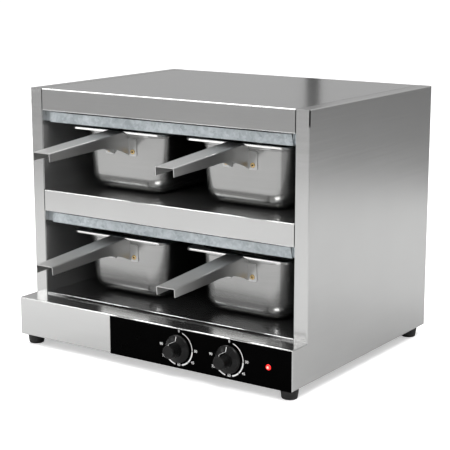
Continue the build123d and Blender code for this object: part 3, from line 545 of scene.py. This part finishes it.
def drawPanRim(shell, rimMiddle, stepWidth, stepLength):
    # the flat of the rim runs out to its own outline, which has tighter corners, and its edge turns down
    look = panLook
    selectEdges(lambda a, b: a.z > rimMiddle.z - tiny and b.z > rimMiddle.z - tiny)
    growRing((0, 0, 0), (1, 1, 1), rimMiddle)
    bpy.ops.object.mode_set(mode="OBJECT")
    inset = look["lipLean"] + look["rimMargin"]
    rimBend, stepBend = (look["rimCorner"] - inset) * mm, (look["corner"] - look["sheet"]) * mm
    place = shell.matrix_world.copy()
    for vertex in shell.data.vertices:
        if vertex.select:
            spot = place @ vertex.co - rimMiddle
            turn = Vector((max(abs(spot.x) - stepWidth / 2 + stepBend, 0),
                           max(abs(spot.y) - stepLength / 2 + stepBend, 0))).normalized()
            rimX = (look["rim"][0] / 2 - inset) * mm + rimBend * (turn.x - 1)
            rimY = (look["rim"][1] / 2 - inset) * mm + rimBend * (turn.y - 1)
            away = Vector((math.copysign(rimX, spot.x), math.copysign(rimY, spot.y), 0))
            vertex.co = place.inverted() @ (rimMiddle + away)
    startEdit("EDGE")
    lean = [1 + look["lipLean"] / (side / 2 - inset) for side in look["rim"]]
    growRing((0, 0, -look["lip"] * mm), (lean[0], lean[1], 1), rimMiddle)


def makePan(name, node):
    look, sheet = panLook, panLook["sheet"]
    low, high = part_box(node)
    rimMiddle = Vector(((low.x + high.x) / 2, (low.y + high.y) / 2, high.z))
    stepTop = rimMiddle - Vector((0, 0, (look["stepHeight"] - sheet) * mm))
    width, length = [(side - 2 * look["overhang"] - 2 * sheet) * mm for side in look["rim"]]
    shell = drawPanWalls(stepTop, width, length)
    # the step: out over the wall, then up to the rim
    selectEdges(lambda a, b: a.z > stepTop.z - tiny and b.z > stepTop.z - tiny)
    spread = 2 * look["step"] * mm
    growRing((0, 0, 0), (1 + spread / width, 1 + spread / length, 1), stepTop)
    growRing((0, 0, rimMiddle.z - stepTop.z), (1, 1, 1), stepTop)
    # the sheet that the form began with doesn't stay as a lid
    selectFaces(lambda centre, normal: abs(normal.z) > 0.99 and centre.z > low.z + look["bottomRadius"] * mm
                and abs(centre.x - rimMiddle.x) < 0.3 * width and abs(centre.y - rimMiddle.y) < 0.3 * length)
    bpy.ops.mesh.delete(type="ONLY_FACE")
    drawPanRim(shell, rimMiddle, width + spread, length + spread)
    bpy.ops.mesh.select_all(action="SELECT")
    bpy.ops.mesh.remove_doubles(threshold=2 * tiny)
    bpy.ops.mesh.normals_make_consistent(inside=False)
    bpy.ops.object.mode_set(mode="OBJECT")
    floor = min(shell.data.polygons, key=lambda face: face.center.z)
    if floor.normal.z < 0:
        startEdit("FACE")
        bpy.ops.mesh.select_all(action="SELECT")
        bpy.ops.mesh.flip_normals()
        bpy.ops.object.mode_set(mode="OBJECT")
    useModifier(shell, "BEVEL", width=look["edgeRound"] * mm, segments=3, limit_method="ANGLE",
                angle_limit=math.radians(40))
    useModifier(shell, "SOLIDIFY", thickness=sheet * mm, offset=-1.0)
    return settle(shell, name, "pan", smooth=16)  # the lip stays flat, the walls keep a soft crown


def makePans():
    first = makePan("drawnPan_upper_left", "pan_upper_left")
    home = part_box("pan_upper_left")[0]
    for place in ("upper_left", "upper_right", "lower_left", "lower_right"):
        node = f"pan_{place}"
        pan = first if place == "upper_left" else copyOf(first, f"drawnPan_{place}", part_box(node)[0] - home)
        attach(pan, node)
        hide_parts(node)
    print("pans drawn:", len(first.data.polygons), "faces each")


makePans()

# tubular rivets, flared round an eye whose inside is painted dark as shade

rivetLook = {
    "head": 3.75, "headHeight": 1.9, "headEdge": 0.5, "shank": 2.0, "grip": 2.04, "tail": 3.0, "tailHeight": 0.9,
    "tailRound": 0.3, "eye": 1.35, "eyeDepth": 1.6, "spread": 22.0, "facets": 32,
}


def makeRivets():
    look = rivetLook
    home = boxMiddle("rivets_upper_left")
    front = (look["headHeight"] + look["grip"] + look["tailHeight"]) / 2
    seat = front - look["headHeight"]
    back = -front
    head, shank, tail, eye = look["head"], look["shank"], look["tail"], look["eye"]
    profile = [
        (tail - 2 * look["tailRound"], back), (tail, back + look["tailRound"]), (tail, back + look["tailHeight"]),
        (shank, back + look["tailHeight"]), (shank, seat), (head, seat), (head, seat + look["headEdge"]),
        (head - 0.35, seat + 1.2), (head - 1.0, front - 0.15), (head - 1.5, front), (eye + 0.35, front - 0.1),
        (eye, front - 0.5), (eye - 0.1, front - look["eyeDepth"]),
    ]
    turned = turnedForm(home, profile, look["facets"], "front")
    rivet = settle(turned, "rivet", "brass", smooth=50)
    # painted shade: the faces inside the eye take the dark moulded finish
    rivet.data.materials.append(finishes["plasticAndEyeShade"])
    for face in rivet.data.polygons:
        away = Vector((face.center.x - home.x, face.center.z - home.z))
        face.material_index = 1 if away.length < eye * mm and face.center.y < home.y else 0
    turn = Matrix.Rotation(math.radians(panLook["draft"]), 4, "X")  # square to the pan's wall
    rivet.data.transform(Matrix.Translation(home) @ turn @ Matrix.Translation(-home))
    spread = Vector((look["spread"] * mm, 0, 0))
    twin = copyOf(rivet, "rivetTwin", spread)
    rivet.data.transform(Matrix.Translation(-spread))
    pair = joinPieces([rivet, twin], "rivetPair_upper_left")
    for place in ("upper_left", "upper_right", "lower_left", "lower_right"):
        node = f"rivets_{place}"
        mine = pair if place == "upper_left" else copyOf(pair, f"rivetPair_{place}", boxMiddle(node) - home)
        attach(mine, f"pan_{place}")
        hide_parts(node)
    print("rivets set")


makeRivets()

# thermostat knobs: hollow skirt, grip with a rib, white pointer

knobLook = {
    "skirt": 20.0, "rimDepth": 2.4, "shoulder": 18.4, "slopeStart": 4.1, "slopeEnd": 6.3, "gripFoot": 11.0,
    "gripTip": 9.5, "reach": 23.2, "wall": 2.4, "hollow": 3.4, "ribStart": 6.0, "ribEnd": 22.0, "ribWidth": 1.6,
    "ribHeight": 11.9, "ribRound": 0.3, "facets": 96,
    "pointerWidth": 0.9, "strokeWidth": 0.7, "strokeMargin": 0.4, "endStroke": 2.4, "paint": 0.12,
}


def knobAxis(hand, y):
    # the point of a knob's axis at this depth
    middle = boxMiddle(f"{hand}_knob")
    return Vector((middle.x, y, middle.z))


def makeRib(centre):
    # the raised rib that runs out along the grip
    look = knobLook
    depth = look["ribEnd"] - look["ribStart"]
    middle = centre + Vector((0, -(look["ribStart"] + depth / 2) * mm, look["ribHeight"] * mm / 2))
    deselectAll()
    bpy.ops.mesh.primitive_cube_add(size=1.0, location=middle)
    startEdit("EDGE")
    bpy.ops.mesh.select_all(action="SELECT")
    bpy.ops.transform.resize(value=(look["ribWidth"] * mm, depth * mm, look["ribHeight"] * mm),
                             center_override=tuple(bpy.context.object.location))
    bpy.ops.mesh.bevel(offset=look["ribRound"] * mm, segments=2, affect="EDGES")
    return settle(bpy.context.object, "knobRib", "knob")


def paintPointer(hand, centre):
    # paint: a bar down the slope of the skirt, one along the rib and one down its end
    look = knobLook
    paint, margin, ribHeight, ribEnd = look["paint"], look["strokeMargin"], look["ribHeight"], look["ribEnd"]
    outer, inner = look["shoulder"] - 0.2, look["gripFoot"] + 0.6
    slope = math.atan2(look["slopeEnd"] - look["slopeStart"], outer - inner)
    slopeDepth = (look["slopeStart"] + look["slopeEnd"] + paint) / 2
    strokeStart, strokeEnd = look["slopeEnd"] + 0.7, ribEnd - margin
    bars = [  # distance along the axis, height, tilt, size
        (slopeDepth, (outer + inner) / 2, -slope, (look["pointerWidth"], paint, (outer - inner) / math.cos(slope))),
        ((strokeStart + strokeEnd) / 2, ribHeight, 0.0, (look["strokeWidth"], strokeEnd - strokeStart, paint)),
        (ribEnd, ribHeight - margin - look["endStroke"] / 2, 0.0, (look["strokeWidth"], paint, look["endStroke"])),
    ]
    strokes = []
    for reach, height, tilt, size in bars:
        deselectAll()
        bpy.ops.mesh.primitive_cube_add(size=1.0, location=centre + Vector((0, -reach * mm, height * mm)),
                                        rotation=(tilt, 0, 0), scale=[side * mm for side in size])
        bpy.ops.object.transform_apply(location=True, rotation=True, scale=True)
        startEdit("EDGE")
        bpy.ops.mesh.select_all(action="SELECT")
        bpy.ops.mesh.bevel(offset=paint / 3 * mm, segments=1, affect="EDGES")
        strokes.append(settle(bpy.context.object, "pointerStroke", "paint"))
    pointer = joinPieces(strokes, f"knobPointer_{hand}")
    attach(pointer, f"knob_{hand}")


def makeKnob(hand):
    look = knobLook
    centre = knobAxis(hand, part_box(f"{hand}_knob")[1].y)
    skirt, shoulder, foot, tip, reach = [look[key] for key in ("skirt", "shoulder", "gripFoot", "gripTip", "reach")]
    profile = [
        (skirt - look["wall"], look["hollow"]), (skirt - look["wall"], 0.0), (skirt - 0.2, 0.0), (skirt, 0.2),
        (skirt, look["rimDepth"] - 0.15), (skirt - 0.15, look["rimDepth"] + 0.1), (shoulder + 0.25, 3.8),
        (shoulder - 0.2, look["slopeStart"]), (foot + 0.6, look["slopeEnd"]), (foot + 0.12, 6.55), (foot, 7.0),
        (tip, reach - 1.0), (tip - 0.25, reach - 0.35), (tip - 0.9, reach), (tip - 2.2, reach),
        (tip - 2.5, reach - 0.35),
    ]
    body = settle(turnedForm(centre, profile, look["facets"], "front"), f"turningKnob_{hand}", "knob", smooth=32)
    knob = joinPieces([body, makeRib(centre)], f"turningKnob_{hand}")
    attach(knob, f"knob_{hand}")
    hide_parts(f"{hand}_knob")
    paintPointer(hand, centre)


for hand in ("left", "right"):
    makeKnob(hand)
print("knobs turned")

# printed scales round the knobs: bands that widen with the heat, and plain numbers

scaleLook = {
    "radius": 24.0, "film": 0.12, "cuts": 144, "textSize": 5.4, "bold": 0.06,
    # hours run clockwise from 12 to 24, as on a clock seen from the front
    "bands": ((12.55, 15.0, 1.0), (15.1, 16.5, 2.0), (16.6, 17.5, 2.2), (18.45, 19.7, 2.0)),  # start, end, width
    "numbers": (("0", 12.1, 25.3), ("30", 14.95, 29.8), ("45", 16.13, 29.8), ("60", 17.92, 23.4),
                ("75", 19.97, 29.3), ("90", 21.12, 29.5)),  # text, hour, distance from the axis
}


def makeBand(centre, start, end, width):
    look = scaleLook
    deselectAll()
    inner = (look["radius"] - width / 2) * mm
    bpy.ops.mesh.primitive_circle_add(vertices=look["cuts"], radius=inner, fill_type="NOTHING", location=centre,
                                      rotation=(math.pi / 2, 0, 0))
    startEdit("EDGE")
    bpy.ops.mesh.select_all(action="SELECT")
    grow = (look["radius"] + width / 2) * mm / inner
    growRing((0, 0, 0), (grow, grow, grow), centre)

    def outside(point, normal):
        hour = math.degrees(math.atan2(point.x - centre.x, point.z - centre.z)) % 360 / 30 + 12
        return not start < hour < end

    selectFaces(outside)
    bpy.ops.mesh.delete(type="FACE")
    band = bpy.context.object
    useModifier(band, "SOLIDIFY", thickness=look["film"] * mm, offset=0.0)
    return settle(band, "scaleBand", "paint")


def makeNumber(centre, label, hour, reach):
    deselectAll()
    turn = math.radians(30 * hour)
    spot = centre + Vector((math.sin(turn) * reach * mm, 0, math.cos(turn) * reach * mm))
    bpy.ops.object.text_add(location=spot, rotation=(math.pi / 2, 0, 0))
    number = bpy.context.object
    number.data.body = label
    number.data.align_x = "CENTER"
    number.data.align_y = "CENTER"
    number.data.size = scaleLook["textSize"] * mm
    number.data.extrude = scaleLook["film"] / 2 * mm
    number.data.offset = scaleLook["bold"] * mm
    number.data.resolution_u = 3
    bpy.ops.object.convert(target="MESH")
    return settle(bpy.context.object, "scaleNumber", "paint")


def makeScale(hand):
    centre = knobAxis(hand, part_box("control_overlay")[0].y - scaleLook["film"] / 2 * mm)
    prints = [makeBand(centre, *band) for band in scaleLook["bands"]]
    prints += [makeNumber(centre, *number) for number in scaleLook["numbers"]]
    scale = joinPieces(prints, f"dialScale_{hand}")
    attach(scale, "cabinet")


for hand in ("left", "right"):
    makeScale(hand)
print("scales printed")

# screws of the back panel, with cross recesses

screwLook = {
    "head": 3.75, "rise": 2.2, "shank": 1.9, "length": 8.0, "slot": 0.9, "slotReach": 2.1, "slotDepth": 1.3,
    "facets": 32, "rows": 4,
}


def makeBackScrews():
    look = screwLook
    low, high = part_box("back_panel_screws")
    first = Vector((low.x + look["head"] * mm, high.y - look["rise"] * mm, low.z + look["head"] * mm))
    profile = [
        (look["shank"], -look["length"]), (look["shank"], 0.0), (look["head"], 0.0), (look["head"], 0.7),
        (look["head"] - 0.4, 1.4), (look["head"] - 1.1, 1.95), (look["head"] - 1.9, look["rise"]),
    ]
    screw = settle(turnedForm(first, profile, look["facets"], "back"), "panelScrew", "screw", smooth=40)
    for turn in (0, math.pi / 2):
        deselectAll()
        bpy.ops.mesh.primitive_cube_add(
            size=1.0, location=first + Vector((0, look["rise"] * mm, 0)), rotation=(0, turn, 0),
            scale=(2 * look["slotReach"] * mm, 2 * look["slotDepth"] * mm, look["slot"] * mm))
        cutter = bpy.context.object
        bpy.ops.object.transform_apply(location=True, rotation=True, scale=True)
        useModifier(screw, "BOOLEAN", operation="DIFFERENCE", object=cutter, solver="EXACT")
        bpy.data.objects.remove(cutter)
    settle(screw, "panelScrew", "screw", smooth=40)
    across = Vector((high.x - low.x - 2 * look["head"] * mm, 0, 0))
    rise = (high.z - low.z - 2 * look["head"] * mm) / (look["rows"] - 1)
    screws = [screw]
    for side in (0, 1):
        for row in range(look["rows"]):
            if side or row:
                screws.append(copyOf(screw, "panelScrew", side * across + Vector((0, 0, row * rise))))
    group = joinPieces(screws, "backScrews")
    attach(group, "cabinet")
    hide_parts("back_panel_screws")
    print("back screws cut")


makeBackScrews()

# cable gland: threaded stem, hexagon, ribbed cap and a round bore

glandLook = {
    "bore": 4.25, "stem": 8.0, "threads": 7, "threadDepth": 0.55, "collar": 5.0, "hexagon": 22.0, "cap": 9.3,
    "capLength": 10.0, "capRound": 2.4, "ribs": 40, "ribHeight": 0.35,
}


def makeGland():
    look = glandLook
    low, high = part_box("cable_gland")
    bore, radius, collar, cap = look["bore"], look["stem"], look["collar"], look["cap"]
    end = collar + look["capLength"]
    centre = Vector(((low.x + high.x) / 2, high.y - end * mm, (low.z + high.z) / 2))
    inner = (low.y - centre.y) / mm
    profile = [(bore, inner), (radius, inner)]
    for turn in range(look["threads"]):
        start = inner + 0.5 + turn * (-inner - 1.5) / look["threads"]
        profile += [(radius, start), (radius - look["threadDepth"], start + look["threadDepth"])]
    profile += [
        (radius, 0.0), (cap - 0.6, collar), (cap, collar + 0.6), (cap, end - look["capRound"]), (cap - 0.8, end - 0.9),
        (cap - 2.4, end), (bore + 1.6, end), (bore + 1.4, end - 0.8), (bore, end - 0.8), (bore, inner + 0.05),
    ]
    stem = turnedForm(centre, profile, 2 * look["ribs"], "back")
    selectFaces(lambda spot, normal: (Vector((spot.x - centre.x, spot.z - centre.z))).length < 0.2 * mm)
    bpy.ops.mesh.delete(type="FACE")
    bpy.ops.mesh.select_all(action="SELECT")
    bpy.ops.mesh.remove_doubles(threshold=0.06 * mm)
    bpy.ops.mesh.normals_make_consistent(inside=False)
    bpy.ops.object.mode_set(mode="OBJECT")
    # every second line of the cap stands out as a rib
    for vertex in stem.data.vertices:
        spot = stem.matrix_world @ vertex.co
        away = Vector((spot.x - centre.x, spot.z - centre.z))
        onCap = centre.y + (collar + 0.5) * mm < spot.y < centre.y + (end - 0.8) * mm
        line = round(math.atan2(away.y, away.x) / math.pi * look["ribs"])
        vertex.select = onCap and away.length > (cap - 1.0) * mm and line % 2 == 0
    startEdit("VERT")
    grow = 1 + look["ribHeight"] / cap
    bpy.ops.transform.resize(value=(grow, 1, grow), center_override=tuple(centre))
    stem = settle(stem, "glandStem", "plasticAndEyeShade", smooth=25)
    deselectAll()
    bpy.ops.mesh.primitive_cylinder_add(vertices=6, radius=look["hexagon"] / math.sqrt(3) * mm, depth=collar * mm,
                                        location=centre + Vector((0, collar / 2 * mm, 0)), rotation=(math.pi / 2, 0, 0))
    startEdit("EDGE")
    bpy.ops.mesh.select_all(action="SELECT")
    bpy.ops.mesh.bevel(offset=0.5 * mm, segments=2, affect="EDGES")
    collarPiece = settle(bpy.context.object, "glandCollar", "plasticAndEyeShade")
    gland = joinPieces([stem, collarPiece], "ribbedGland")
    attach(gland, "cabinet")
    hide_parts("cable_gland")
    print("gland made")


makeGland()

# rubber feet with a moulded ring and a hollow sole

footLook = {
    "top": 13.0, "sole": 11.0, "height": 15.0, "round": 1.5, "hollow": 6.5, "hollowDepth": 1.4, "bore": 2.6,
    "boreDepth": 5.0, "facets": 64,
}


def makeFeet():
    look = footLook
    names = ("foot_front_left", "foot_rear_left", "foot_front_right", "foot_rear_right")
    low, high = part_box(names[0])
    home = Vector(((low.x + high.x) / 2, (low.y + high.y) / 2, high.z))
    top, sole, height, hollow = look["top"], look["sole"], look["height"], look["hollow"]
    lean = (top - sole) / height
    hollowZ = height - look["hollowDepth"]
    profile = [(top - 0.3, 0.0), (top, 0.3), (top - 0.15, 1.5), (top - 0.7, 1.8), (top - 0.7, 2.4), (top - 0.3, 2.7)]
    profile += [(top - lean * depth, depth) for depth in (5.0, 9.0, height - look["round"])]
    profile += [
        (sole - 0.25, height - 0.6), (sole - 1.2, height), (hollow + 0.4, height), (hollow, height - 0.4),
        (hollow - 0.4, hollowZ), (look["bore"] + 0.2, hollowZ), (look["bore"], height - look["boreDepth"]),
    ]
    foot = settle(turnedForm(home, profile, look["facets"], "down"), "moulded_foot_front_left", "rubber", smooth=40)
    for name in names:
        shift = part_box(name)[0] - low
        mine = foot if name == names[0] else copyOf(foot, f"moulded_{name}", shift)
        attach(mine, "cabinet")
        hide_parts(name)
    print("feet moulded")


makeFeet()

# studio: pale floor, soft overhead light, camera at the photo's angle

studio = {
    "floorRadius": 30.0, "lift": 0.42, "skyLow": 0.5, "skyHigh": 1.0, "skyStrength": 0.85,
    # how bright the floor is in the steel: the shade, and the distances in metres over which it comes in
    "nearShade": 0.72, "nearReach": (0.4, 1.5), "farShade": 0.4, "farReach": (1.35, 1.9),
    "frontShade": 0.88, "frontReach": (0.45, 0.85), "rearShade": 0.85, "rearReach": (-0.25, 0.3),
    "lights": {  # place, the point it faces, width, height, power
        "overheadSoftbox": ((0.0, 0.1, 2.7), (0, 0.1, 0), 3.2, 2.6, 50.0),
        "keySoftbox": ((-1.5, -0.45, 2.4), (0, 0, 0.2), 0.95, 0.95, 26.0),
        "frontPanel": ((-2.9, -3.6, 0.9), (0, 0, 0.4), 3.0, 0.9, 30.0),
        "edgeSoftbox": ((1.05, -1.45, 1.95), (0, 0, 0.1), 0.9, 0.45, 16.0),
    },
    "pole": {"place": (-1.94, 3.57, 0.85), "size": (0.06, 1.1), "yaw": 30.6},
    "camera": {"place": (1.1159, -1.5896, 0.5994), "yaw": 34.423, "pitch": -12.036, "lens": 106.44, "sensor": 36.0},
}


def makeFloor():
    deselectAll()
    bpy.ops.mesh.primitive_circle_add(vertices=96, radius=studio["floorRadius"], fill_type="NGON")
    floor = bpy.context.object
    floor.name = "studioFloor"
    material, tree, shader, place = newMaterial("floorPaper", {"Roughness": 0.9, "Specular IOR Level": 0.1})
    fibres = addNode(tree, "TexNoise", {"Vector": place.outputs["Object"], "Scale": 300.0, "Detail": 3.0})
    paper = mixColor(tree, fibres.outputs[0], (0.9, 0.9, 0.9, 1), (0.93, 0.93, 0.93, 1))
    away = addNode(tree, "VectorMath", {0: place.outputs["Object"]}, operation="LENGTH").outputs["Value"]
    depth = addNode(tree, "SeparateXYZ", {0: place.outputs["Object"]}).outputs[1]
    far = rangeOf(tree, away, 1.0, studio["farShade"], *studio["farReach"])
    near = rangeOf(tree, away, studio["nearShade"], 1.0, *studio["nearReach"])
    ahead = rangeOf(tree, away, 1.0, studio["frontShade"], *studio["frontReach"])
    sides = rangeOf(tree, depth, ahead, studio["rearShade"], *studio["rearReach"])
    dim = mathNode(tree, "MULTIPLY", mathNode(tree, "MULTIPLY", far, sides), near)
    fromCamera = addNode(tree, "LightPath").outputs["Is Camera Ray"]
    seen = mathNode(tree, "MAXIMUM", fromCamera, dim)
    tree.links.new(mixColor(tree, 1.0, paper, seen, "MULTIPLY"), shader.inputs["Base Color"])
    tree.links.new(mathNode(tree, "MULTIPLY", fromCamera, studio["lift"]), shader.inputs["Emission Strength"])
    floor.data.materials.append(material)


def makeWorld():
    world = bpy.data.worlds.new("studioWorld")
    bpy.context.scene.world = world
    world.use_nodes = True
    tree = world.node_tree
    back = tree.nodes["Background"]
    place = tree.nodes.new("ShaderNodeTexCoord")
    split = addNode(tree, "SeparateXYZ", {0: place.outputs["Generated"]})
    rise = rangeOf(tree, split.outputs[2], studio["skyLow"], studio["skyHigh"], 0.15, 0.7)
    color = mixColor(tree, rise, (0, 0, 0, 1), (1, 1, 1, 1))
    rays = addNode(tree, "LightPath")
    tree.links.new(mixColor(tree, rays.outputs["Is Camera Ray"], color, (1, 1, 1, 1)), back.inputs[0])
    back.inputs[1].default_value = studio["skyStrength"]


def makeLights():
    for name, (place, target, width, height, power) in studio["lights"].items():
        light = bpy.data.lights.new(name, "AREA")
        light.shape = "RECTANGLE"
        light.size, light.size_y = width, height
        light.energy = power
        box = bpy.data.objects.new(name, light)
        box.location = place
        box.rotation_euler = (Vector(target) - Vector(place)).to_track_quat("-Z", "Y").to_euler()
        bpy.context.scene.collection.objects.link(box)


def makePole():
    # a dark stand far behind the object, seen only as a band in the steel of the top
    look = studio["pole"]
    deselectAll()
    bpy.ops.mesh.primitive_plane_add(size=1.0, location=look["place"],
                                     rotation=(math.pi / 2, 0, math.radians(look["yaw"])))
    pole = bpy.context.object
    pole.scale = (look["size"][0], look["size"][1], 1.0)
    pole.name = "studioPole"
    pole.data.materials.append(finishes["plasticAndEyeShade"])
    pole.visible_camera = False
    pole.visible_shadow = False


def makeCamera():
    look = studio["camera"]
    camera = bpy.data.objects.new("photoCamera", bpy.data.cameras.new("photoCamera"))
    camera.location = look["place"]
    camera.rotation_euler = (math.radians(90 + look["pitch"]), 0, math.radians(look["yaw"]))
    camera.data.lens = look["lens"]
    camera.data.sensor_width = look["sensor"]
    bpy.context.scene.collection.objects.link(camera)
    bpy.context.scene.camera = camera


makeFloor()
makeWorld()
makeLights()
makePole()
makeCamera()
bpy.context.scene.view_settings.view_transform = "Standard"
print("studio is set")
